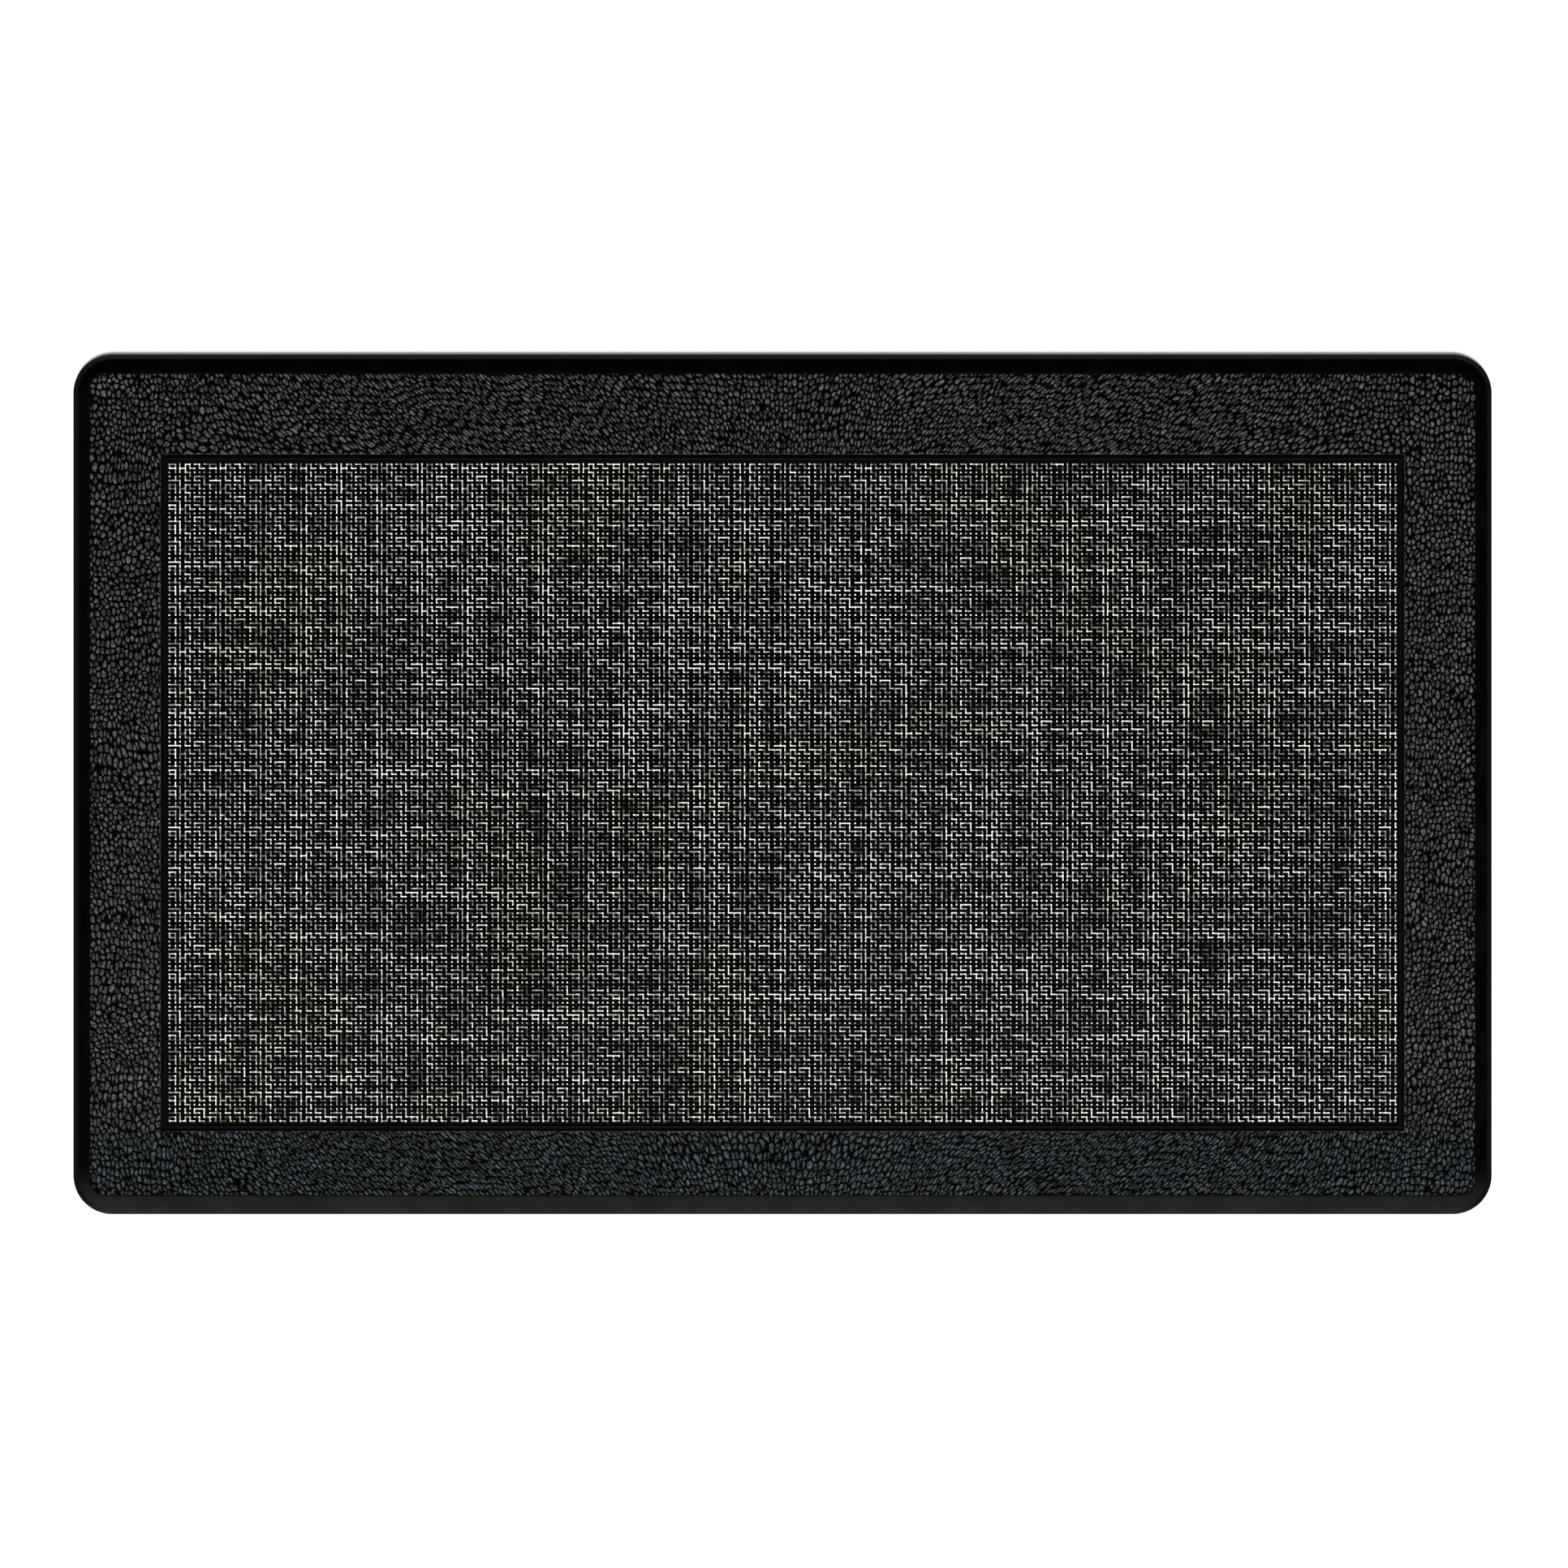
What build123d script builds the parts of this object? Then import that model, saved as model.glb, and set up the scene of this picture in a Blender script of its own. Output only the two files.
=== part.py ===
from build123d import *
import os

# Anti-fatigue floor mat: a foam core between a non-slip base sheet and a leather-grain vinyl skin.
# The skin runs down a bevel to a thin lip that is welded to the base sheet all round. A panel of
# woven vinyl is let into a rectangular window in the skin.
#
# Millimetres. X is along the mat, Y is across it, and Z is up. The origin is on the floor, under
# the middle of the outline.

# Driving dimensions: the whole mat
mat_length = 762.0
mat_width = 462.0
mat_thickness = 12.0
corner_radius = 21.0

# Driving dimensions: the sheets
base_thickness = 1.2
skin_thickness = 0.9
film_thickness = 0.3
weave_thickness = 1.0

# Driving dimensions: the rim, from the outer edge inwards
lip_width = 2.6
bevel_width = 9.2
lip_rounding = 0.4
shoulder_rounding = 1.2
base_edge_chamfer = 0.3

# Driving dimensions: the window, which sits nearer to one long side than to the other
window_length = 661.5
window_width = 359.8
window_corner = 1.0
window_shift = -4.4

# Driving dimensions: what lies in the window, from its edge inwards
groove_width = 1.8
bead_width = 1.0
bead_height = 0.8
bead_corner = 2.0
bead_rounding = 0.3
bead_to_weave = 1.4

# Heights above the floor
lip_top = base_thickness + skin_thickness
core_top = mat_thickness - skin_thickness
pocket_floor = mat_thickness - weave_thickness - film_thickness
film_top = pocket_floor + film_thickness

# The bevel's slope gives the skin's thickness measured level, through the sloping side
bevel_height = mat_thickness - lip_top
bevel_slant = (bevel_width**2 + bevel_height**2) ** 0.5
skin_thickness_level = skin_thickness * bevel_slant / bevel_height

# Middle of everything that lies in the window
window_middle = (0, window_shift)


def bevel_inset(height):
    """How far the outside of the bevel is in from the mat's edge, at a height above the floor."""
    return lip_width + bevel_width * (height - lip_top) / bevel_height


def outline(inset, height):
    """The mat's outline as a face at that height, moved in by the inset on all sides."""
    with BuildSketch(Plane.XY.offset(height)) as face:
        RectangleRounded(mat_length - 2 * inset, mat_width - 2 * inset, corner_radius - inset)
    return face.sketch


def core_section(height):
    """The outline of the space inside the skin, at a height above the floor."""
    return outline(bevel_inset(height) + skin_thickness_level, height)


# Base sheet: the non-slip sheet that lies on the floor, as large as the whole mat
with BuildPart() as base_sheet:
    with BuildSketch():
        RectangleRounded(mat_length, mat_width, corner_radius)
    extrude(amount=base_thickness)
    chamfer(base_sheet.edges().group_by(Axis.Z)[0], base_edge_chamfer)
base_sheet.part.label = "base_sheet"

# Foam core: the cushion, with sloping sides and a shallow pocket that the inlay is pressed into
with BuildPart() as foam_core:
    loft(sections=[core_section(base_thickness), core_section(core_top)], ruled=True)
    with BuildSketch(Plane.XY.offset(pocket_floor)):
        with Locations(window_middle):
            RectangleRounded(window_length, window_width, window_corner)
    extrude(amount=core_top - pocket_floor, mode=Mode.SUBTRACT)
foam_core.part.label = "foam_core"

# Cover skin: the leather-grain border, its bevelled side and the lip, open below and at the window
with BuildPart() as cover_skin:
    with BuildSketch(Plane.XY.offset(base_thickness)):
        RectangleRounded(mat_length, mat_width, corner_radius)
    extrude(amount=skin_thickness)
    fillet(cover_skin.edges().group_by(Axis.Z)[-1], lip_rounding)
    loft(
        sections=[
            outline(bevel_inset(lip_top), lip_top),
            outline(bevel_inset(mat_thickness), mat_thickness),
        ],
        ruled=True,
    )
    fillet(cover_skin.edges().group_by(Axis.Z)[-1], shoulder_rounding)
    loft(
        sections=[core_section(base_thickness), core_section(core_top)],
        ruled=True,
        mode=Mode.SUBTRACT,
    )
    with BuildSketch(Plane.XY.offset(core_top)):
        with Locations(window_middle):
            RectangleRounded(window_length, window_width, window_corner)
    extrude(amount=skin_thickness, mode=Mode.SUBTRACT)
cover_skin.part.label = "cover_skin"

# Inlay film: the black hot-melt film that bonds the inlay to the core and lines the groove
with BuildPart() as inlay_film:
    with BuildSketch(Plane.XY.offset(pocket_floor)):
        with Locations(window_middle):
            RectangleRounded(window_length, window_width, window_corner)
    extrude(amount=film_thickness)
inlay_film.part.label = "inlay_film"

# Edge bead: the fine raised frame round the woven panel, which seals its cut edge
bead_length = window_length - 2 * groove_width
bead_across = window_width - 2 * groove_width
with BuildPart() as edge_bead:
    with BuildSketch(Plane.XY.offset(film_top)):
        with Locations(window_middle):
            RectangleRounded(bead_length, bead_across, bead_corner)
            RectangleRounded(
                bead_length - 2 * bead_width,
                bead_across - 2 * bead_width,
                bead_corner - bead_width,
                mode=Mode.SUBTRACT,
            )
    extrude(amount=bead_height)
    fillet(edge_bead.edges().group_by(Axis.Z)[-1], bead_rounding)
edge_bead.part.label = "edge_bead"

# Woven inlay: the panel of woven vinyl yarn, level with the border
weave_margin = groove_width + bead_width + bead_to_weave
with BuildPart() as woven_inlay:
    with BuildSketch(Plane.XY.offset(film_top)):
        with Locations(window_middle):
            Rectangle(window_length - 2 * weave_margin, window_width - 2 * weave_margin)
    extrude(amount=weave_thickness)
woven_inlay.part.label = "woven_inlay"

# One file for each piece
os.makedirs("parts", exist_ok=True)
export_step(base_sheet.part, "parts/base_sheet.step")
export_step(foam_core.part, "parts/foam_core.step")
export_step(cover_skin.part, "parts/cover_skin.step")
export_step(inlay_film.part, "parts/inlay_film.step")
export_step(edge_bead.part, "parts/edge_bead.step")
export_step(woven_inlay.part, "parts/woven_inlay.step")
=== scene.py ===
import math
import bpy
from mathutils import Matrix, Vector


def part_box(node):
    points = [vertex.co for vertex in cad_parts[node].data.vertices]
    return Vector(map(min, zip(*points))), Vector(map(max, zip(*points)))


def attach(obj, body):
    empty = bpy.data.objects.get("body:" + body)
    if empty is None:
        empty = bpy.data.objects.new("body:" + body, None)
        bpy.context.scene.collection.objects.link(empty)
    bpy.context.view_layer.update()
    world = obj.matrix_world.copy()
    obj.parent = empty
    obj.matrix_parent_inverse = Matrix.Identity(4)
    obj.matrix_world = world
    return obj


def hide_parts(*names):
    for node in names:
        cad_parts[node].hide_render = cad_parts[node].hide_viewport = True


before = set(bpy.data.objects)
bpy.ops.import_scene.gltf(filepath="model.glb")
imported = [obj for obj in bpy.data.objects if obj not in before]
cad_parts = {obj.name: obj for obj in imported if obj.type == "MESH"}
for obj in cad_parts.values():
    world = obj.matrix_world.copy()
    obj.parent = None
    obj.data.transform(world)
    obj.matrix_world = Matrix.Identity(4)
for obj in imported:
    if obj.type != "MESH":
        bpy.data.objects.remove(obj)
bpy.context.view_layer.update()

from types import SimpleNamespace

import bpy
import numpy as np

MM = 0.001

# ---------------------------------------------------------------- sizes taken from the frame

BASE_LOW, BASE_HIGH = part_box("base_sheet")
FILM_LOW, FILM_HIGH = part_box("inlay_film")
BEAD_LOW, BEAD_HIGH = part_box("edge_bead")
WEAVE_LOW, WEAVE_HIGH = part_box("woven_inlay")
CORE_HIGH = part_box("foam_core")[1]
SKIN_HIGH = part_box("cover_skin")[1]

HALF_LENGTH = (BASE_HIGH.x - BASE_LOW.x) / 2
HALF_WIDTH = (BASE_HIGH.y - BASE_LOW.y) / 2
TOP = SKIN_HIGH.z
BASE_TOP = BASE_HIGH.z
CORE_TOP = CORE_HIGH.z
FILM_TOP = FILM_HIGH.z
SKIN = TOP - CORE_TOP
LIP_TOP = BASE_TOP + SKIN
WINDOW_MIDDLE = ((FILM_LOW.x + FILM_HIGH.x) / 2, (FILM_LOW.y + FILM_HIGH.y) / 2)
WINDOW_HALF = ((FILM_HIGH.x - FILM_LOW.x) / 2, (FILM_HIGH.y - FILM_LOW.y) / 2)

# ---------------------------------------------------------------- sizes that the frame doesn't give

# The mat in plan and in section
CORNER = 21 * MM                  # the mat's corner radius, in plan
WINDOW_CORNER = 1.0 * MM
LIP_WIDTH = 2.6 * MM              # from the mat's edge to the foot of the bevel
BEVEL_WIDTH = 9.2 * MM
BEVEL_BULGE = (0.35 * MM, 0.14 * MM)    # how far the bevel bows outwards and upwards
CREASE_WIDTH = 0.7 * MM           # the pressed line between the smooth bevel and the grain
WALL_LOOP = 0.55 * MM             # the loop of points on the window's wall is this far below the top
CLEARANCE = 0.01 * MM             # touching pieces are a few of these apart, so no two faces coincide

# The bead in the groove
BEAD_WIDTH = 1.0 * MM
BEAD_CORNER = 2.0 * MM
BEAD_HALF_PROFILE = ((0.0, 0.0), (0.02, 0.55), (0.14, 0.85), (0.32, 0.98))    # shares of width, height
BEAD_WAVER = 0.06                 # the share of its height that it loses where it is lowest
BEAD_WAVER_LENGTH = 11 * MM

# The foam and the film
FOAM_SOFTENING = 0.25 * MM        # how far the slab's sharp edges are drawn in
FILM_RIPPLE = 0.05 * MM           # half the depth of the deepest ripple
FILM_RIPPLE_LENGTH = 6 * MM

# The leather grain
GRAIN_SIZE = 2.5 * MM             # across a pebble, on average
GRAIN_STRETCH = 1.5               # a pebble's length over its width
GRAIN_DEPTH = 0.58 * MM
GRAIN_LEAN = 1.05                 # the most that the pebbles lean, halfway along a long border
GRAIN_DRIFT = (3.0 * MM, 4.0 * MM)    # how far in X and Y the rows of pebbles stray
DRIFT_LENGTH = 30 * MM
GRAIN_JITTER = 0.6 * MM           # how far the outline of a pebble strays
JITTER_LENGTH = 3.2 * MM
CELL_SCATTER = 0.80               # 0: pebbles in even rows, 1: anywhere in their places
CREASE_SPREAD = 0.75              # 0: all creases are equally wide, 1: as wide as their cells are big
SHOULDER = 0.63                   # a pebble rises over this share of the way in to its middle
SHOULDER_VARIES = 0.09            # more or less, in patches of the length below
SHOULDER_LENGTH = 4 * MM
CROWN_EDGE = 0.38                 # its painted highlight, a pale band, lies at this share of the way in
CROWN_BAND = 0.7                  # and fades out over this part of that share, to each side
EDGE_FADE = 1.1 * MM              # the grain flattens out over this width at each edge
EDGE_START = 0.15                 # how far along that fade the edge itself already is
EDGE_SINK = 0.2 * MM              # how far below the top the leather lies there
CREASE_DOME = 0.45                # its dome value beside the pressed line, where it is painted as black as the painted shade in a crease
WINDOW_DOME = 0.9                 # and beside the window, where 1 is a pebble's top
FRONT_COOL_LIGHT = (31 * MM, 81 * MM)   # painted cool light: the leather's bluish tint fades out this far in from the front edge
FRONT_LIT_BEVEL = (6 * MM, 30 * MM)   # and the painted light on the front bevel fades out this far in

# The woven panel. Its pattern is one repeat, eight columns by five rows, drawn from the +Y side down.
# A yarn that stays on top runs on to the next crossing where a line joins the two.
ROW_PITCH = 2.173 * MM            # weft rows
COLUMN_PITCH = 2.68 * MM          # warp columns, on average
COLUMN_GAPS = (1.12, 1.19, 0.88, 1.06, 0.94, 0.88, 1.0, 0.93)    # shares of that, over one repeat
PATTERN = (
    "o o o o-o o o o ",
    "        |       ",
    "o o o o o o-o-o ",
    "  |   |   |   | ",
    "o-o-o o-o o-o o ",
    "    |         | ",
    "o-o o o-o o-o o-",
    "| | | | |   |   ",
    "o-o o-o o-o o-o ",
    "  | | |         ",
)
YARN_TOP = 0.21 * MM              # half the width of a yarn's flat top
YARN_FOOT = 0.62 * MM             # half its width where it meets the ground
GROUND_DEPTH = 0.58 * MM          # the dark ground, below the top of a yarn
DIP = 0.46 * MM                   # how far a yarn sinks between two crossings
LONE_DIP = 0.32 * MM              # how far it sinks beside a crossing that joins no other
SAG = 0.09 * MM                   # how far it sinks where it stays on top
UNEVEN = 0.06 * MM                # how much lower the lowest crossings are
WANDER = (0.10 * MM, 0.08 * MM)   # how far the columns and the rows stray sideways
WANDER_LENGTH = 9 * MM
CUT_EDGE = 1 * MM                 # the yarns keep to their places this close to the panel's edge

# The colour of the yarns
STREAKS = ((70 * MM, 0.45), (14 * MM, 0.30), (2.2 * MM, 0.25))    # length along the yarn, share
WEFT_CONTRAST = 1.30
WARP_CONTRAST = 0.87
CLOUDINESS = 0.08                 # how much the whole panel drifts lighter and darker
YARN_LANE = 7.31                  # keeps the noise of neighbouring yarns apart
WARP_LANE = 3733.0                # keeps the warp's noise apart from the weft's
LONE_STRENGTH = 1.08              # how strongly a crossing shows that joins no other
JOINED_STRENGTH = 0.03            # how much of that it loses with each crossing that it joins

# The studs of the underside
STUD_PITCH = 7.0 * MM
STUD_FLAT = 1.35 * MM             # half the width of a stud's flat foot
STUD_BASE = 1.95 * MM             # half its width where it leaves the sheet
STUD_HEIGHT = 0.55 * MM
PLAIN_MARGIN = 14 * MM

# Points along an X side, along a Y side and round a corner
SKIN_COUNTS = (1800, 1060, 40)
BEAD_COUNTS = (330, 180, 10)
CORE_COUNTS = (120, 70, 12)
TOP_BANDS = 104                   # loops of points from the pressed line to the window
FILM_GRID = (400, 220)            # points in X and in Y

# Light and camera
KEY_ELEVATION = 45                # degrees above the floor, beyond the front edge
KEY_DISTANCE = 7.0
KEY_SIZE = 2.8
KEY_POWER = 890
HORIZON_GLOW = 1.15               # the sky's brightness at the horizon
ZENITH_GLOW = 0.28                # and overhead
GLOW_FADES = (0.14, 0.64)         # from one to the other between these heights, as sines
CAMERA_PLACE = (0.8 * MM, 0.15 * MM, 1.0)    # just off the middle of the mat, 1 m up
SHARE_OF_FRAME = 0.9031           # how much of the picture's width the mat fills
SENSOR = 36.0                     # millimetres, as the camera's own settings count it
FLOOR_SIZE = 14

PAINTED_SHADE_BLACK = (0.0004, 0.0004, 0.0004)    # painted shade: black in the leather's creases and down the yarns' sides; between the yarns it also stands for the black film below


# ---------------------------------------------------------------- mesh helpers

def new_object(name, points, faces):
    """A smooth-shaded mesh object from an array of points and a list of arrays of faces."""
    mesh = bpy.data.meshes.new(name)
    corners = np.concatenate([f.ravel() for f in faces])
    sizes = np.concatenate([np.full(len(f), f.shape[1]) for f in faces])
    starts = np.concatenate([[0], np.cumsum(sizes)[:-1]])
    mesh.vertices.add(len(points))
    mesh.vertices.foreach_set("co", np.asarray(points, np.float32).ravel())
    mesh.loops.add(len(corners))
    mesh.loops.foreach_set("vertex_index", corners.astype(np.int32))
    mesh.polygons.add(len(sizes))
    mesh.polygons.foreach_set("loop_start", starts.astype(np.int32))
    mesh.polygons.foreach_set("loop_total", sizes.astype(np.int32))
    mesh.polygons.foreach_set("use_smooth", np.ones(len(sizes), bool))
    mesh.update(calc_edges=True)
    piece = bpy.data.objects.new(name, mesh)
    bpy.context.scene.collection.objects.link(piece)
    return piece


def store(piece, name, domain, values):
    """Stores one number for each vertex (POINT) or face (FACE), for the material to read.

    Vertices or faces past the last of the values get 0.
    """
    attribute = piece.data.attributes.new(name, "FLOAT", domain)
    padded = np.zeros(len(attribute.data), np.float32)
    padded[:values.size] = values.ravel()
    attribute.data.foreach_set("value", padded)


def band_faces(loops, around, closed=False):
    """Quads between neighbouring loops of points, each loop closed on itself."""
    k = np.arange(loops if closed else loops - 1)[:, None]
    n = np.arange(around)[None, :]
    after = (n + 1) % around
    above = (k + 1) % loops
    quads = [k * around + n, k * around + after, above * around + after, above * around + n]
    return np.stack(quads, -1).reshape(-1, 4)


def grid_faces(rows, columns):
    """Quads of a rectangular grid of points, stored row by row, facing +Z."""
    j = np.arange(rows - 1)[:, None]
    i = np.arange(columns - 1)[None, :]
    low = j * columns + i
    quads = [low, low + 1, low + columns + 1, low + columns]
    return np.stack(quads, -1).reshape(-1, 4)


def grid_border(rows, columns):
    """The outer points of such a grid, counter-clockwise from its first point."""
    bottom = np.arange(columns)
    right = np.arange(1, rows) * columns + columns - 1
    top = (rows - 1) * columns + np.arange(columns - 2, -1, -1)
    left = np.arange(rows - 2, 0, -1) * columns
    return np.concatenate([bottom, right, top, left])


def slab(name, grid, foot_height):
    """A closed sheet: a grid of points for its top, upright walls and a flat back."""
    rows, columns = grid.shape[:2]
    top = grid.reshape(-1, 3)
    border = grid_border(rows, columns)
    foot = at_height(top[border, :2], foot_height)
    first = len(top)
    ring = np.arange(len(border))
    after = np.roll(ring, -1)
    wall = np.stack([first + ring, first + after, border[after], border], -1)
    back = (first + ring[::-1])[None, :]
    return new_object(name, np.concatenate([top, foot]), [grid_faces(rows, columns), wall, back])


def rounded_outline(half_x, half_y, radius, middle, counts):
    """A rounded rectangle, counter-clockwise from the left end of its -Y side.

    counts are the points along an X side, along a Y side and round a corner.
    """
    along_x, along_y, round_corner = counts
    runs = []
    sides = ((0, -1, along_x), (1, 0, along_y), (0, 1, along_x), (-1, 0, along_y))
    for turn, (side_x, side_y, count) in enumerate(sides):
        share = np.linspace(-1, 1, count, endpoint=False)
        if side_x == 0:
            runs.append(np.stack([-side_y * share * (half_x - radius), 0 * share + side_y * half_y], 1))
        else:
            runs.append(np.stack([0 * share + side_x * half_x, side_x * share * (half_y - radius)], 1))
        angle = (turn - 1) * math.pi / 2 + np.linspace(0, math.pi / 2, round_corner, endpoint=False)
        corner_x = (half_x - radius) * (1 if turn in (0, 1) else -1)
        corner_y = (half_y - radius) * (1 if turn in (1, 2) else -1)
        runs.append(np.stack([corner_x + radius * np.cos(angle), corner_y + radius * np.sin(angle)], 1))
    return np.concatenate(runs) + np.array(middle)


def mat_outline(inset, counts):
    """The mat's own outline, moved in by the inset."""
    return rounded_outline(HALF_LENGTH - inset, HALF_WIDTH - inset, CORNER - inset, (0, 0), counts)


def window_outline(grow, counts):
    """The outline of the window in the skin, moved out by that much."""
    half_x, half_y = WINDOW_HALF
    return rounded_outline(half_x + grow, half_y + grow, WINDOW_CORNER, WINDOW_MIDDLE, counts)


def at_height(outline, height):
    """Points of an outline with their height, which is one number or one for each point."""
    return np.column_stack([outline, np.broadcast_to(height, len(outline))])


# ---------------------------------------------------------------- noise, the same on every run

def smooth(t):
    """0 below 0, 1 above 1, and an even rise between."""
    t = np.clip(t, 0, 1)
    return t * t * (3 - 2 * t)


def hashed(i, j, seed):
    """A number from 0 to 1 for each pair of whole numbers."""
    return np.modf(np.abs(np.sin(i * 127.1 + j * 311.7 + seed * 74.7) * 43758.5453))[0]


def soft_noise(x, y, size, seed):
    """Smooth noise from -1 to 1, with bumps of about that size."""
    u, v = x / size, y / size
    i, j = np.floor(u), np.floor(v)
    s, t = smooth(u - i), smooth(v - j)
    low = hashed(i, j, seed) * (1 - s) + hashed(i + 1, j, seed) * s
    high = hashed(i, j + 1, seed) * (1 - s) + hashed(i + 1, j + 1, seed) * s
    return 2 * (low * (1 - t) + high * t) - 1


def cells(x, y, size, seed):
    """Scattered cells: how far in from its edge each point is, about 1 at the cell's seed,
    and a number from 0 to 1 that is the same all over a cell."""
    u, v = x / size, y / size
    i, j = np.floor(u), np.floor(v)
    nearest = np.full(u.shape, np.inf)
    second = np.full(u.shape, np.inf)
    name = np.zeros(u.shape)
    for di in (-1, 0, 1):
        for dj in (-1, 0, 1):
            a, b = i + di, j + dj
            to_x = u - a - 0.5 - CELL_SCATTER * (hashed(a, b, seed) - 0.5)
            to_y = v - b - 0.5 - CELL_SCATTER * (hashed(a, b, seed + 1) - 0.5)
            away = np.hypot(to_x, to_y)
            closer = away < nearest
            second = np.where(closer, nearest, np.minimum(second, away))
            name = np.where(closer, hashed(a, b, seed + 2), name)
            nearest = np.where(closer, away, nearest)
    return (second - nearest) / (second + nearest) ** CREASE_SPREAD, name


# ---------------------------------------------------------------- node helpers

class Nodes:
    """A material's node tree, with short calls for the nodes that the materials share.

    The scale of a noise or of cracks is in features per metre. A source is a socket or a plain value.
    """

    def __init__(self, name):
        self.material = bpy.data.materials.new(name)
        self.material.use_nodes = True
        self.tree = self.material.node_tree
        self.shader = self.tree.nodes["Principled BSDF"]
        self.place = self.add("ShaderNodeTexCoord").outputs["Object"]

    def add(self, kind, **settings):
        """A new node of that kind, with its settings."""
        node = self.tree.nodes.new(kind)
        for key, value in settings.items():
            setattr(node, key, value)
        return node

    def link(self, source, target):
        """Links a socket to the target, or sets the target to a plain value."""
        if isinstance(source, (int, float, tuple)):
            target.default_value = source
        else:
            self.tree.links.new(source, target)

    def link_all(self, sources, targets):
        """Links or sets each target, in order."""
        for source, target in zip(sources, targets):
            self.link(source, target)

    def set(self, **values):
        """Sets the shader's own sockets."""
        for key, value in values.items():
            self.link(value, self.shader.inputs[key.replace("_", " ")])

    def attribute(self, name):
        """A number that the mesh stores."""
        return self.add("ShaderNodeAttribute", attribute_name=name).outputs["Fac"]

    def math(self, operation, *sources):
        """One step of arithmetic."""
        node = self.add("ShaderNodeMath", operation=operation)
        self.link_all(sources, node.inputs)
        return node.outputs[0]

    def range(self, value, low, high, out_low=0.0, out_high=1.0):
        """An even rise from out_low to out_high while the value goes from low to high."""
        node = self.add("ShaderNodeMapRange", interpolation_type="SMOOTHSTEP")
        self.link_all((value, low, high, out_low, out_high), node.inputs)
        return node.outputs[0]

    def stretched(self, vector, scale):
        """Coordinates for a texture that is stretched along the axes with a scale below 1."""
        node = self.add("ShaderNodeMapping")
        self.link(vector, node.inputs["Vector"])
        node.inputs["Scale"].default_value = scale
        return node.outputs[0]

    def combine(self, x, y, z):
        """A vector from three numbers."""
        node = self.add("ShaderNodeCombineXYZ")
        self.link_all((x, y, z), node.inputs)
        return node.outputs[0]

    def split(self, vector):
        """The three numbers of a vector."""
        node = self.add("ShaderNodeSeparateXYZ")
        self.link(vector, node.inputs[0])
        return node.outputs

    def noise(self, vector, scale, detail=2.0, roughness=0.5):
        """Soft noise, mostly from 0.3 to 0.7."""
        node = self.add("ShaderNodeTexNoise")
        self.link(vector, node.inputs["Vector"])
        node.inputs["Scale"].default_value = scale
        node.inputs["Detail"].default_value = detail
        node.inputs["Roughness"].default_value = roughness
        return node.outputs["Fac"]

    def cracks(self, vector, scale):
        """How far each point is from the edge of its cell: 0 in a crack."""
        node = self.add("ShaderNodeTexVoronoi", feature="DISTANCE_TO_EDGE")
        self.link(vector, node.inputs["Vector"])
        node.inputs["Scale"].default_value = scale
        return node.outputs["Distance"]

    def ramp(self, value, *stops):
        """A colour for each value, between stops of (position, colour)."""
        node = self.add("ShaderNodeValToRGB")
        self.link(value, node.inputs[0])
        elements = node.color_ramp.elements
        while len(elements) < len(stops):
            elements.new(0.5)
        for element, (position, colour) in zip(elements, stops):
            element.position = position
            element.color = (*colour, 1.0)
        return node.outputs[0]

    def mix(self, share, a, b, blend="MIX"):
        """Two colours mixed or multiplied."""
        node = self.add("ShaderNodeMix", data_type="RGBA", blend_type=blend)
        self.link(share, node.inputs[0])
        for source, target in ((a, node.inputs[6]), (b, node.inputs[7])):
            self.link((*source, 1.0) if isinstance(source, tuple) else source, target)
        return node.outputs[2]

    def bump(self, height, distance):
        """Fine relief in the shading: a height of 1 stands for that distance."""
        node = self.add("ShaderNodeBump")
        node.inputs["Distance"].default_value = distance
        self.link(height, node.inputs["Height"])
        self.link(node.outputs[0], self.shader.inputs["Normal"])


# ---------------------------------------------------------------- materials

def grain_vinyl():
    """Black leather-grain vinyl. The mesh stores how high on its pebble each point is, and each
    pebble's random tone with its painted highlight. The creases are painted black as shade."""
    n = Nodes("grain_vinyl")
    y = n.split(n.place)["Y"]
    wrinkles = n.cracks(n.stretched(n.place, (1.0, 0.7, 1.0)), scale=800)
    patch = n.noise(n.place, scale=620, detail=1)
    fine = n.noise(n.place, scale=1500, detail=3, roughness=0.6)
    mottle = n.noise(n.place, scale=14, detail=3)
    # Painted highlights: pale patches of noise stand for glints on the pebbles
    glint_patches = n.math("POWER", n.range(patch, 0.30, 0.70), 2.0)
    pale = n.math("MULTIPLY_ADD", n.attribute("tone_and_highlight"), 0.45, n.math("MULTIPLY", glint_patches, 0.55))
    pebble = n.ramp(pale, (0.0, (0.0, 0.0, 0.0)), (1.0, (0.117, 0.117, 0.117)))
    warm = n.ramp(mottle, (0.35, (1.0, 0.97, 0.89)), (0.65, (0.98, 1.0, 0.95)))
    # Painted light: a bluish tint near the front edge stands for the cool light from the front
    cool_front_light = (0.58, 0.71, 0.79)
    cast = n.mix(n.range(y, FRONT_COOL_LIGHT[0] - HALF_WIDTH, FRONT_COOL_LIGHT[1] - HALF_WIDTH), cool_front_light, warm)
    skin_colour = n.mix(1.0, pebble, cast, "MULTIPLY")
    # Painted shade: the creases and the low sides of the pebbles are painted black by their height
    n.set(
        Base_Color=n.mix(n.range(n.attribute("dome"), 0.48, 1.0), PAINTED_SHADE_BLACK, skin_colour),
        Roughness=n.range(fine, 0.3, 0.7, 0.20, 0.32),
        Specular_IOR_Level=0.03,
    )
    relief = n.math("MULTIPLY_ADD", n.range(wrinkles, 0.0, 0.2), 0.6, patch)
    n.bump(n.math("MULTIPLY_ADD", fine, 0.3, relief), 0.05 * MM)
    return n.material


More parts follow.
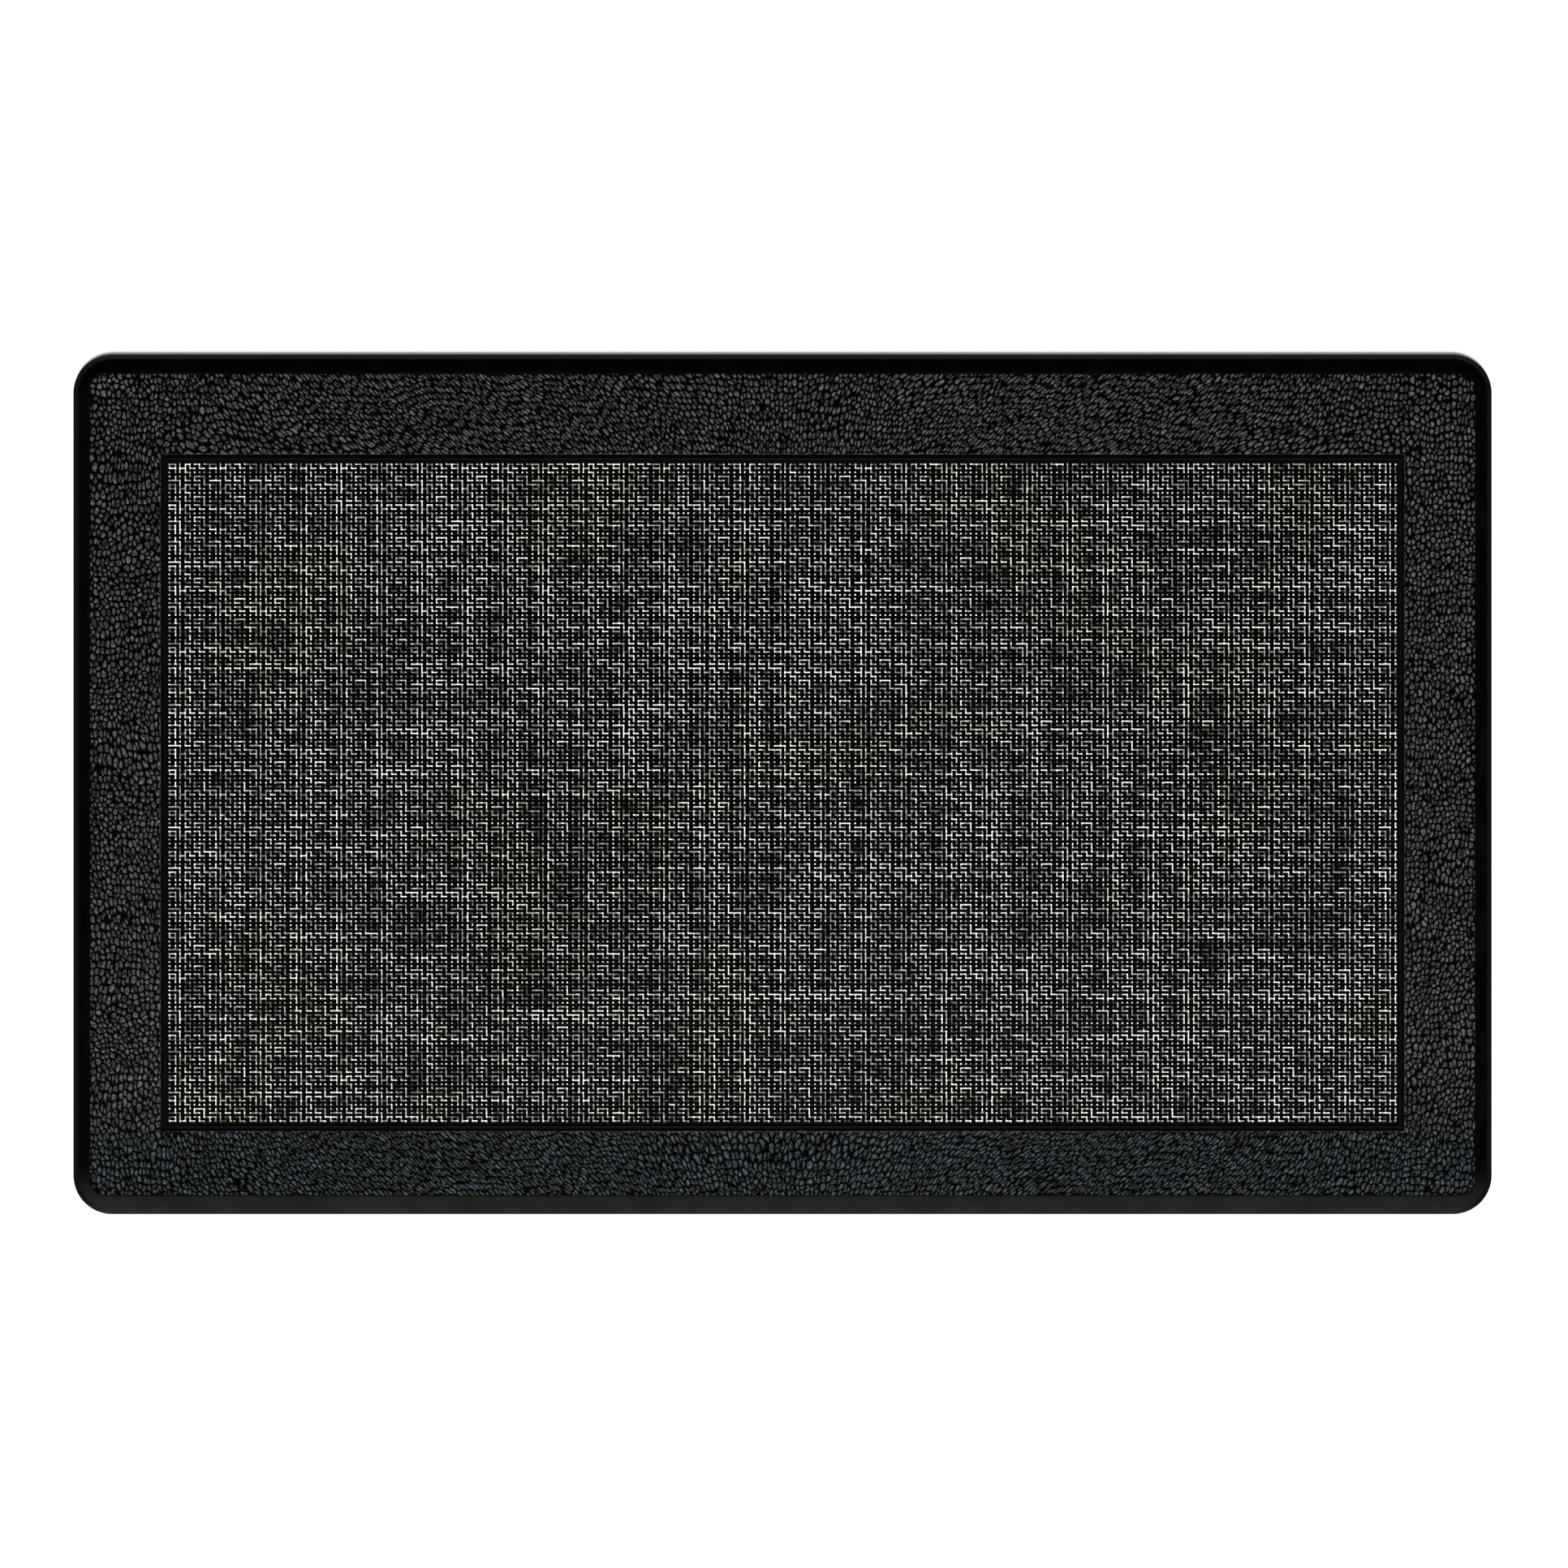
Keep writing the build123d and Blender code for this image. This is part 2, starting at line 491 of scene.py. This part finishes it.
def rim_vinyl():
    """The same vinyl pressed smooth. The front bevel is painted paler, as painted light from the front;
    the lip is paler along the long sides than at the ends.
    """
    n = Nodes("rim_vinyl")
    mottle = n.noise(n.place, scale=45, detail=3)
    fine = n.noise(n.place, scale=1100, detail=4, roughness=0.6)
    scuffs = n.noise(n.stretched(n.place, (1.0, 1.0, 0.3)), scale=160, detail=4, roughness=0.65)
    x, y, z = n.split(n.place)
    plain = n.ramp(mottle, (0.3, (0.0010, 0.0009, 0.0008)), (0.7, (0.0022, 0.0019, 0.0017)))
    # Painted light: the front bevel is painted paler, as lit from the front, fading to the plain bevel
    lit_front = n.ramp(mottle, (0.3, (0.0064, 0.0064, 0.0062)), (0.7, (0.0084, 0.0084, 0.0082)))
    from_front = n.range(y, FRONT_LIT_BEVEL[0] - HALF_WIDTH, FRONT_LIT_BEVEL[1] - HALF_WIDTH)
    bevel = n.mix(from_front, lit_front, plain)
    side_lip = n.ramp(mottle, (0.3, (0.012, 0.012, 0.011)), (0.7, (0.017, 0.017, 0.016)))
    end_lip = (0.0045, 0.0044, 0.0042)
    at_ends = n.range(n.math("ABSOLUTE", x), HALF_LENGTH - CORNER, HALF_LENGTH - 0.2 * CORNER)
    lip = n.mix(at_ends, side_lip, end_lip)
    n.set(
        Base_Color=n.mix(n.range(z, LIP_TOP + 0.1 * MM, LIP_TOP + 0.9 * MM), lip, bevel),
        Roughness=n.range(scuffs, 0.3, 0.7, 0.50, 0.66),
        Specular_IOR_Level=0.0,
    )
    n.bump(fine, 0.02 * MM)
    return n.material


def woven_vinyl():
    """Vinyl-coated yarn. Each yarn runs light and dark along its length.

    The mesh stores on each face its weft and warp yarns' numbers and which of the two shows, and
    on each vertex how high it is. Both show at a crossing, where the paler one wins.
    """
    n = Nodes("woven_vinyl")
    cloud = n.noise(n.place, scale=13, detail=2)
    x, y, z = n.split(n.place)

    def shade(along, number, first_lane, shows, contrast):
        """How pale a yarn is, from 0 to 1, or 0 where it is hidden."""
        lane = n.math("MULTIPLY_ADD", n.attribute(number), YARN_LANE, first_lane)
        mixed = n.math("MULTIPLY_ADD", cloud, CLOUDINESS, (1 - contrast - CLOUDINESS) / 2)
        for length, share in STREAKS:
            thread = n.combine(n.math("DIVIDE", along, length), lane, 0.0)
            streak = n.noise(thread, scale=1.0, detail=1.0)
            mixed = n.math("MULTIPLY_ADD", streak, share * contrast, mixed)
        return n.math("MULTIPLY", mixed, n.attribute(shows))

    weft = shade(x, "weft", 0.0, "weft_shows", WEFT_CONTRAST)
    warp = shade(y, "warp", WARP_LANE, "warp_shows", WARP_CONTRAST)
    yarn_colour = n.ramp(
        n.math("MAXIMUM", weft, warp),
        (0.377, (0.007, 0.007, 0.006)),
        (0.460, (0.074, 0.073, 0.067)),
        (0.541, (0.37, 0.363, 0.335)),
        (0.608, (0.95, 0.932, 0.875)),
    )
    tint = n.noise(n.place, scale=10, detail=2)
    cast = n.ramp(tint, (0.35, (1.0, 0.96, 0.91)), (0.5, (1, 1, 1)), (0.65, (0.95, 1.0, 0.99)))
    tinted = n.mix(1.0, yarn_colour, cast, "MULTIPLY")
    fibre = n.noise(n.place, scale=2600, detail=2)
    # Painted shade: the yarns are painted black down their sides and where they dip, by height; the
    # ground between them also stands for the black film below
    n.set(
        Base_Color=n.mix(n.range(n.attribute("lift"), 0.60, 0.97), PAINTED_SHADE_BLACK, tinted),
        Roughness=n.range(fibre, 0.3, 0.7, 0.36, 0.52),
        Specular_IOR_Level=0.02,
    )
    n.bump(fibre, 0.03 * MM)
    return n.material


def satin_black(name, low, high, roughness, grain, depth):
    """A plain black moulding: a faint mottle in its colour and gloss over a fine surface grain."""
    n = Nodes(name)
    mottle = n.noise(n.place, scale=60, detail=3)
    fine = n.noise(n.place, scale=grain, detail=3, roughness=0.6)
    n.set(
        Base_Color=n.ramp(mottle, (0.3, (low,) * 3), (0.7, (high,) * 3)),
        Roughness=n.range(fine, 0.25, 0.75, roughness - 0.08, roughness + 0.08),
        Specular_IOR_Level=0.03,
    )
    n.bump(fine, depth)
    return n.material


def closed_cell_foam():
    """Dark foam, with the small open pits of its cut cells."""
    n = Nodes("cushion_foam")
    pits = n.cracks(n.place, scale=1100)
    mottle = n.noise(n.place, scale=80, detail=3)
    body = n.ramp(mottle, (0.3, (0.036, 0.036, 0.038)), (0.7, (0.055, 0.055, 0.057)))
    # Painted shade: the pits of the cut cells are painted darker than the foam round them
    n.set(
        Base_Color=n.mix(n.range(pits, 0.05, 0.35), body, (0.02, 0.02, 0.021)),
        Roughness=n.range(mottle, 0.3, 0.7, 0.85, 0.95),
        Specular_IOR_Level=0.2,
    )
    n.bump(n.math("SUBTRACT", 0.4, pits), 0.2 * MM)
    return n.material


# ---------------------------------------------------------------- the leather-grain skin

def leather(x, y):
    """The grain at each point: how high on its pebble it is, from 0 in a crease to 1 on the top,
    and how pale it is, from 0 to 1: a random tone for each pebble, with a painted highlight round the
    edge of its crown, where it is palest."""
    drift_x = GRAIN_DRIFT[0] * soft_noise(x, y, DRIFT_LENGTH, seed=3)
    drift_y = GRAIN_DRIFT[1] * soft_noise(x, y, DRIFT_LENGTH, seed=5)
    jitter_x = GRAIN_JITTER * soft_noise(x, y, JITTER_LENGTH, seed=4)
    jitter_y = GRAIN_JITTER * soft_noise(x, y, JITTER_LENGTH, seed=6)
    lean = GRAIN_LEAN * np.sin(math.pi * np.clip(x / WINDOW_HALF[0], -1, 1))
    border_middle = np.sign(y) * (HALF_WIDTH + WINDOW_HALF[1]) / 2
    across = x - (y - border_middle) * lean + drift_x + jitter_x
    along = (y + drift_y + jitter_y) / GRAIN_STRETCH
    inside, name = cells(across, along, GRAIN_SIZE, seed=11)
    shoulder = SHOULDER + SHOULDER_VARIES * soft_noise(x, y, SHOULDER_LENGTH, seed=7)
    dome = np.sin(np.clip(inside / shoulder, 0, 1) * math.pi / 2)
    # Painted highlight: a pale band round the edge of each pebble's crown
    highlight_ring = smooth(1 - np.abs(inside / CROWN_EDGE - 1) / CROWN_BAND)
    return dome, (name + highlight_ring) / 2


def bevel_line():
    """(inset, height) from the outer edge of the lip up to the pressed line round the grain."""
    line = [
        (0.00 * MM, BASE_TOP),
        (0.00 * MM, BASE_TOP + 0.45 * SKIN),
        (0.12 * MM, LIP_TOP - 0.14 * MM),
        (0.42 * MM, LIP_TOP),
        (1.10 * MM, LIP_TOP + 0.02 * MM),
        (1.80 * MM, LIP_TOP),
        (2.25 * MM, LIP_TOP - 0.10 * MM),
        (2.50 * MM, LIP_TOP - 0.22 * MM),
        (2.78 * MM, LIP_TOP - 0.02 * MM),
    ]
    rise = TOP - LIP_TOP
    for share in np.linspace(0.05, 0.95, 10):
        bow = math.sin(math.pi * share)
        inset = LIP_WIDTH + BEVEL_WIDTH * share - BEVEL_BULGE[0] * bow
        line.append((inset, LIP_TOP + rise * share + BEVEL_BULGE[1] * bow))
    edge = LIP_WIDTH + BEVEL_WIDTH
    line += [
        (edge - 0.10 * MM, TOP - 0.20 * MM),
        (edge + 0.25 * MM, TOP - 0.14 * MM),
        (edge + CREASE_WIDTH / 2, TOP - 0.36 * MM),
    ]
    return line


def grained_top(outer, inner):
    """The leather from the outer outline in to the window: loops of (outline, height, dome, wear)."""
    loops = []
    for share in np.linspace(0, 1, TOP_BANDS):
        outline = outer + (inner - outer) * share
        edge_gap = np.minimum(share, 1 - share) * np.linalg.norm(inner - outer, axis=1)
        grained = smooth(edge_gap / EDGE_FADE + EDGE_START)
        dome, tone_and_highlight = leather(outline[:, 0], outline[:, 1])
        # Beside the pressed line the leather is painted black, as shade in the crease
        edge_dome = CREASE_DOME if share < 0.5 else WINDOW_DOME
        dome = dome * grained + edge_dome * (1 - grained)
        sink = GRAIN_DEPTH * (1 - dome) * grained + EDGE_SINK * (1 - grained)
        loops.append((outline, TOP - sink, dome, tone_and_highlight))
    return loops


def cover_skin():
    """The skin as one closed ring: lip, bevel, grained top, window wall, and the hidden back."""
    edge = LIP_WIDTH + BEVEL_WIDTH
    outer = mat_outline(edge + CREASE_WIDTH, SKIN_COUNTS)
    inner = window_outline(0, SKIN_COUNTS)
    rim = [(mat_outline(inset, SKIN_COUNTS), height, 0, 0) for inset, height in bevel_line()]
    top = grained_top(outer, inner)
    back = [
        (inner, TOP - WALL_LOOP, 0, 0),
        (inner, CORE_TOP + 2 * CLEARANCE, 0, 0),
        (mat_outline(edge + SKIN, SKIN_COUNTS), CORE_TOP + 2 * CLEARANCE, 0, 0),
        (mat_outline(HALF_LENGTH - CORE_HIGH.x, SKIN_COUNTS), BASE_TOP + CLEARANCE, 0, 0),
    ]
    loops = rim + top + back
    around = len(outer)
    points = np.concatenate([at_height(outline, height) for outline, height, dome, tone_and_highlight in loops])
    piece = new_object("cover_skin_grain", points, [band_faces(len(loops), around, closed=True)])
    for name, column in (("dome", 2), ("tone_and_highlight", 3)):
        values = [np.broadcast_to(loop[column], around) for loop in loops]
        store(piece, name, "POINT", np.concatenate(values))
    piece.data.materials.append(rim_vinyl())
    piece.data.materials.append(grain_vinyl())
    band = np.repeat(np.arange(len(loops)), around)
    grained = (band >= len(rim)) & (band < len(rim) + len(top) - 1)
    piece.data.polygons.foreach_set("material_index", grained.astype(np.int32))
    return piece


# ---------------------------------------------------------------- the woven panel

def panel_lines():
    """The places in X of the warp columns and in Y of the weft rows."""
    width = WEAVE_HIGH.x - WEAVE_LOW.x
    depth = WEAVE_HIGH.y - WEAVE_LOW.y
    gaps = np.resize(COLUMN_GAPS, round(width / COLUMN_PITCH))
    steps = np.cumsum(gaps) - gaps[0]
    columns = WEAVE_LOW.x + YARN_FOOT + steps / steps[-1] * (width - 2 * YARN_FOOT)
    rows = round(depth / ROW_PITCH)
    return columns, WEAVE_LOW.y + (np.arange(rows) + 0.5) * depth / rows


def yarn_lines(centres):
    """Grid lines for a set of parallel yarns: each line's place, its yarn, which side of the yarn
    it's on, and whether it's on the yarn's top."""
    offsets = np.array([-YARN_FOOT, -YARN_TOP, YARN_TOP, YARN_FOOT])
    return SimpleNamespace(
        place=(centres[:, None] + offsets).ravel(),
        yarn=np.repeat(np.arange(len(centres)), len(offsets)),
        side=np.tile(np.sign(offsets), len(centres)),
        on_top=np.tile(np.abs(offsets) == YARN_TOP, len(centres)),
    )


def joined_crossings(rows, columns):
    """Where a yarn stays on top, on the way to the next column and on the way to the next row."""
    drawn = np.array([list(line) for line in reversed(PATTERN)])
    to_column = drawn[1::2, 1::2] == "-"
    to_row = np.roll(drawn[0::2, 0::2] == "|", -1, axis=0)
    row = np.arange(rows)[:, None] % to_row.shape[0]
    column = np.arange(columns)[None, :] % to_row.shape[1]
    return to_column[row, column], to_row[row, column]


def at_points(values, warp, weft):
    """A number for each crossing, given to the grid points round it."""
    return values[weft.yarn][:, warp.yarn]


def woven_relief(warp, weft, to_column, to_row, joins):
    """The height of each grid point, from 0 on the highest yarns: they rise at each crossing and
    sink between most of them. A crossing that joins no other is a broader dot."""
    on_warp = warp.on_top[None, :]
    on_weft = weft.on_top[:, None]
    from_column = np.roll(to_column, 1, axis=1)
    from_row = np.roll(to_row, 1, axis=0)
    after = at_points(to_column, warp, weft)
    before = at_points(from_column, warp, weft)
    runs_across = np.where(warp.side[None, :] > 0, after, before)
    above = at_points(to_row, warp, weft)
    below = at_points(from_row, warp, weft)
    runs_up = np.where(weft.side[:, None] > 0, above, below)
    dip = at_points(np.where(joins == 0, LONE_DIP, DIP), warp, weft)
    weft_height = np.where(runs_across, -SAG, -dip)
    warp_height = np.where(runs_up, -SAG, -dip)
    between = np.where(on_weft, weft_height, np.where(on_warp, warp_height, -GROUND_DEPTH))
    uneven = UNEVEN * hashed(weft.yarn[:, None], warp.yarn[None, :], seed=33)
    return np.where(on_weft & on_warp, -uneven, between)


def wandering_grid(warp, weft):
    """The grid's points in plan. Woven yarn is never quite straight, but its cut ends are."""
    grid_x, grid_y = np.meshgrid(warp.place, weft.place)
    wander_x = WANDER[0] * soft_noise(warp.yarn[None, :], grid_y, WANDER_LENGTH, seed=31)
    wander_y = WANDER[1] * soft_noise(grid_x, weft.yarn[:, None], WANDER_LENGTH, seed=32)
    free_x = (grid_x > WEAVE_LOW.x + CUT_EDGE) & (grid_x < WEAVE_HIGH.x - CUT_EDGE)
    free_y = (grid_y > WEAVE_LOW.y + CUT_EDGE) & (grid_y < WEAVE_HIGH.y - CUT_EDGE)
    free = free_x & free_y
    return grid_x + wander_x * free, grid_y + wander_y * free


def woven_inlay():
    """The panel as one relief, with what the yarn material reads from it."""
    columns, rows = panel_lines()
    warp, weft = yarn_lines(columns), yarn_lines(rows)
    to_column, to_row = joined_crossings(len(rows), len(columns))
    neighbours = (to_column, np.roll(to_column, 1, axis=1), to_row, np.roll(to_row, 1, axis=0))
    joins = np.sum(neighbours, axis=0)
    relief = woven_relief(warp, weft, to_column, to_row, joins)
    grid_x, grid_y = wandering_grid(warp, weft)
    grid = np.stack([grid_x, grid_y, WEAVE_HIGH.z + relief], -1)
    piece = slab("woven_inlay_yarns", grid, WEAVE_LOW.z + 2 * CLEARANCE)

    # Each face knows the two yarns nearest to it, and how much of each can be seen there
    shape = (len(weft.place) - 1, len(warp.place) - 1)
    beside_warp = np.broadcast_to(((warp.side < 0) | warp.on_top)[None, :-1], shape)
    beside_weft = np.broadcast_to(((weft.side < 0) | weft.on_top)[:-1, None], shape)
    at_crossing = at_points(LONE_STRENGTH - JOINED_STRENGTH * joins, warp, weft)[:-1, :-1]
    strength = np.where(beside_warp & beside_weft, at_crossing, 1.0)
    store(piece, "warp", "FACE", np.broadcast_to(warp.yarn[None, :-1], shape))
    store(piece, "weft", "FACE", np.broadcast_to(weft.yarn[:-1, None], shape))
    store(piece, "warp_shows", "FACE", beside_warp * strength)
    store(piece, "weft_shows", "FACE", beside_weft * strength)
    # The material paints the lower points black as shade, by this height
    store(piece, "lift", "POINT", 1 + relief / GROUND_DEPTH)
    piece.data.materials.append(woven_vinyl())
    return piece


# ---------------------------------------------------------------- the other pieces

def edge_bead():
    """The fine rounded frame in the groove, a little uneven along its length."""
    half_x = (BEAD_HIGH.x - BEAD_LOW.x) / 2
    half_y = (BEAD_HIGH.y - BEAD_LOW.y) / 2
    foot = BEAD_LOW.z + 2 * CLEARANCE
    mirrored = [(1 - across, up) for across, up in reversed(BEAD_HALF_PROFILE)]
    loops = []
    for across, up in (*BEAD_HALF_PROFILE, (0.5, 1.0), *mirrored):
        inset = across * BEAD_WIDTH
        corner = BEAD_CORNER - inset
        loop = rounded_outline(half_x - inset, half_y - inset, corner, WINDOW_MIDDLE, BEAD_COUNTS)
        waver = soft_noise(loop[:, 0], loop[:, 1], BEAD_WAVER_LENGTH, seed=41)
        full = 1 - BEAD_WAVER * (1 + waver) / 2
        loops.append(at_height(loop, foot + (BEAD_HIGH.z - foot) * up * full))
    faces = band_faces(len(loops), len(loops[0]), closed=True)
    piece = new_object("edge_bead_welt", np.concatenate(loops), [faces])
    piece.data.materials.append(
        satin_black("bead_vinyl", low=0.0012, high=0.0026, roughness=0.45, grain=1500, depth=0.02 * MM))
    return piece


def inlay_film():
    """The hot-melt film: a thin sheet, slightly rippled where it lies open in the groove."""
    xs = np.linspace(FILM_LOW.x, FILM_HIGH.x, FILM_GRID[0])
    ys = np.linspace(FILM_LOW.y, FILM_HIGH.y, FILM_GRID[1])
    grid_x, grid_y = np.meshgrid(xs, ys)
    ripple = FILM_RIPPLE * (soft_noise(grid_x, grid_y, FILM_RIPPLE_LENGTH, seed=51) - 1)
    grid = np.stack([grid_x, grid_y, FILM_TOP - CLEARANCE + ripple], -1)
    piece = slab("inlay_film_sheet", grid, FILM_LOW.z + CLEARANCE)
    piece.data.materials.append(
        satin_black("bond_film", low=0.0008, high=0.0014, roughness=0.80, grain=900, depth=0.04 * MM))
    return piece


def foam_core():
    """The cushion: sloping sides with softened edges, and the pocket pressed into its top."""
    gap = 3 * CLEARANCE
    side = HALF_LENGTH - CORE_HIGH.x + 5 * CLEARANCE
    slope = BEVEL_WIDTH / (TOP - LIP_TOP)
    loops = []
    for share in (0.0, 0.04, 0.3, 0.6, 0.9, 0.985, 1.0):
        rise = share * (CORE_TOP - BASE_TOP - 2 * gap)
        softened = FOAM_SOFTENING if share in (0.0, 1.0) else 0.0
        outline = mat_outline(side + slope * rise + softened, CORE_COUNTS)
        loops.append(at_height(outline, BASE_TOP + gap + rise))
    for grow, height in (
        (0.3 * MM, CORE_TOP - gap),
        (0.05 * MM, CORE_TOP - 0.1 * MM),
        (0.0, FILM_LOW.z - gap),
    ):
        loops.append(at_height(window_outline(grow, CORE_COUNTS), height))
    around = len(loops[0])
    underside = np.arange(around)[::-1][None, :]
    pocket_floor = (len(loops) - 1) * around + np.arange(around)[None, :]
    faces = [band_faces(len(loops), around), underside, pocket_floor]
    piece = new_object("foam_core_pad", np.concatenate(loops), faces)
    piece.data.materials.append(closed_cell_foam())
    return piece


def stud_field():
    """A grid of points over the underside, down at 0 on the studs. It is stored mirrored in Y, so
    that its faces look down."""
    offsets = np.array([-STUD_BASE, -STUD_FLAT, STUD_FLAT, STUD_BASE])
    lines, on_flats = [], []
    for half in (HALF_LENGTH, HALF_WIDTH):
        count = round(2 * (half - PLAIN_MARGIN) / STUD_PITCH)
        centres = (np.arange(count) - (count - 1) / 2) * STUD_PITCH
        lines.append((centres[:, None] + offsets).ravel())
        on_flats.append(np.tile(np.abs(offsets) == STUD_FLAT, count))
    field_x, field_y = np.meshgrid(*lines)
    on_stud = on_flats[1][:, None] & on_flats[0][None, :]
    return np.stack([field_x, -field_y, np.where(on_stud, 0.0, STUD_HEIGHT)], -1)


def outline_towards(rim, inset, height):
    """The point of the mat's inset outline that lies outwards of each point of a rectangle."""
    half = np.array([HALF_LENGTH, HALF_WIDTH]) - inset
    arc_centre = half - (CORNER - inset)
    away = np.abs(rim[:, :2])
    past = away / away.max(axis=0) * half - arc_centre
    in_corner = (past > 0).all(axis=1)
    distance = np.where(in_corner, np.hypot(past[:, 0], past[:, 1]), 1.0)
    pull = np.where(in_corner, past.max(axis=1) / distance, 1.0)
    reach = arc_centre + past * pull[:, None]
    return at_height(np.sign(rim[:, :2]) * reach, height)


def base_sheet():
    """The non-slip sheet. Its underside is a field of low square studs inside a plain margin."""
    grid = stud_field()
    rows, columns = grid.shape[:2]
    field = grid.reshape(-1, 3)
    border = grid_border(rows, columns)
    # (inset, height) out from the studs, over the flat welt that lies on the floor, and up the edge
    profile = (
        (9.0 * MM, STUD_HEIGHT),
        (7.6 * MM, 0.1 * MM),
        (6.6 * MM, 0.0),
        (1.2 * MM, 0.0),
        (0.25 * MM, 0.12 * MM),
        (0.0, 0.35 * MM),
        (0.0, BASE_TOP - 0.12 * MM),
        (0.12 * MM, BASE_TOP - CLEARANCE),
    )
    loops = [outline_towards(field[border], inset, height) for inset, height in profile]
    first = len(field)
    around = len(border)
    ring = np.arange(around)
    after = np.roll(ring, -1)
    join = np.stack([border[after], first + after, first + ring, border], -1)
    bands = (first + band_faces(len(loops), around))[:, ::-1]
    lid = (first + (len(loops) - 1) * around + ring)[None, ::-1]
    faces = [grid_faces(rows, columns), join, bands, lid]
    piece = new_object("base_sheet_grip", np.concatenate([field, *loops]), faces)
    piece.data.materials.append(
        satin_black("grip_vinyl", low=0.010, high=0.017, roughness=0.68, grain=700, depth=0.06 * MM))
    return piece


# ---------------------------------------------------------------- floor, light and camera

def floor():
    """A plain pale floor."""
    bpy.ops.mesh.primitive_plane_add(size=FLOOR_SIZE, location=(0, 0, 0))
    ground = bpy.context.object
    ground.name = "floor"
    n = Nodes("pale_floor")
    mottle = n.noise(n.place, scale=1.5, detail=2)
    n.set(
        Base_Color=n.ramp(mottle, (0.3, (0.88, 0.88, 0.88)), (0.7, (0.90, 0.90, 0.90))),
        Roughness=0.9,
        Specular_IOR_Level=0.1,
    )
    ground.data.materials.append(n.material)


def softbox():
    """One large square light beyond the front edge, turned towards the middle of the mat."""
    light = bpy.data.lights.new("front_softbox", "AREA")
    light.shape = "SQUARE"
    light.size = KEY_SIZE
    light.energy = KEY_POWER
    light.color = (0.97, 0.99, 1.0)
    lamp = bpy.data.objects.new("front_softbox", light)
    elevation = math.radians(KEY_ELEVATION)
    lamp.location = (0.0, -KEY_DISTANCE * math.cos(elevation), KEY_DISTANCE * math.sin(elevation))
    lamp.rotation_euler = (math.pi / 2 - elevation, 0, 0)
    bpy.context.scene.collection.objects.link(lamp)


def sky():
    """A plain sky that is brightest at the horizon."""
    world = bpy.data.worlds.new("soft_daylight")
    world.use_nodes = True
    tree = world.node_tree
    direction = tree.nodes.new("ShaderNodeTexCoord")
    split = tree.nodes.new("ShaderNodeSeparateXYZ")
    fade = tree.nodes.new("ShaderNodeMapRange")
    fade.interpolation_type = "SMOOTHSTEP"
    fade.inputs["From Min"].default_value = GLOW_FADES[0]
    fade.inputs["From Max"].default_value = GLOW_FADES[1]
    fade.inputs["To Min"].default_value = HORIZON_GLOW
    fade.inputs["To Max"].default_value = ZENITH_GLOW
    background = tree.nodes["Background"]
    background.inputs["Color"].default_value = (1.0, 0.99, 0.975, 1.0)
    tree.links.new(direction.outputs["Generated"], split.inputs[0])
    tree.links.new(split.outputs["Z"], fade.inputs["Value"])
    tree.links.new(fade.outputs[0], background.inputs["Strength"])
    bpy.context.scene.world = world


def camera():
    """Straight above the mat, looking down, with +Y to the top of the picture."""
    data = bpy.data.cameras.new("camera")
    across = 2 * HALF_LENGTH / SHARE_OF_FRAME
    data.sensor_width = SENSOR
    data.lens = SENSOR * CAMERA_PLACE[2] / across
    data.clip_start = 10 * MM
    eye = bpy.data.objects.new("camera", data)
    eye.location = CAMERA_PLACE
    bpy.context.scene.collection.objects.link(eye)
    bpy.context.scene.camera = eye
    bpy.context.scene.view_settings.view_transform = "Standard"


# ---------------------------------------------------------------- the whole mat

def place(piece, node):
    """A finished piece rides on the mat's one body and stands for its CAD node."""
    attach(piece, "root")
    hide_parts(node)


camera()
softbox()
sky()
floor()

skin = cover_skin()
weave = woven_inlay()
bead = edge_bead()
film = inlay_film()
core = foam_core()
base = base_sheet()

place(skin, "cover_skin")
place(weave, "woven_inlay")
place(bead, "edge_bead")
place(film, "inlay_film")
place(core, "foam_core")
place(base, "base_sheet")
